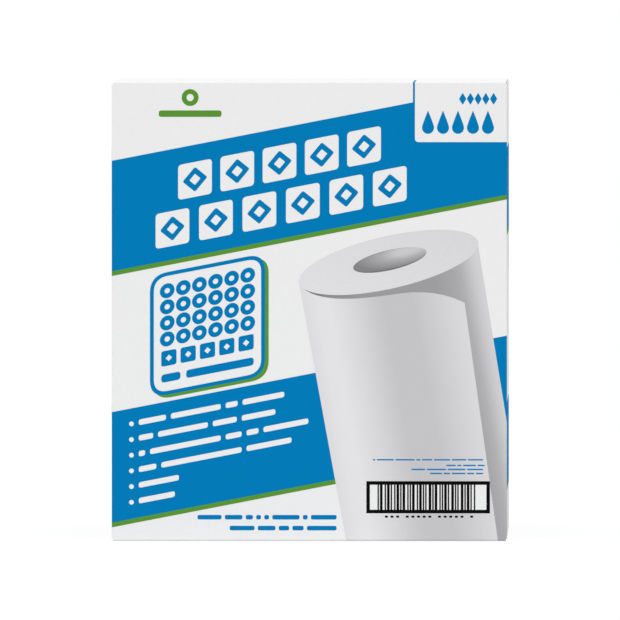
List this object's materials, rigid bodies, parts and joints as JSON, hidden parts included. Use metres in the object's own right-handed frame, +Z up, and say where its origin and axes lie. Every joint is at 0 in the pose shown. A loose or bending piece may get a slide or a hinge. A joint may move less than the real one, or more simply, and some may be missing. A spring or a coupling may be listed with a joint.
{
  "type": "carton of paper towel rolls",
  "caption": "Closed and glued corrugated carton of paper towel rolls, upright block with folded edges, a flap seam on its top and base, and printed bands.",
  "frame": {"origin": "middle of the base, on the surface that the carton stands on", "axes": "+X to the right along the front panel, +Y from the front panel to the back panel, +Z up"},
  "size_m": [0.491, 0.371, 0.57],
  "materials": {
    "printed_board": "matt white-top corrugated board, flexographic print"
  },
  "bodies": {
    "root": {"carton": "printed_board"}
  },
  "joints": []
}
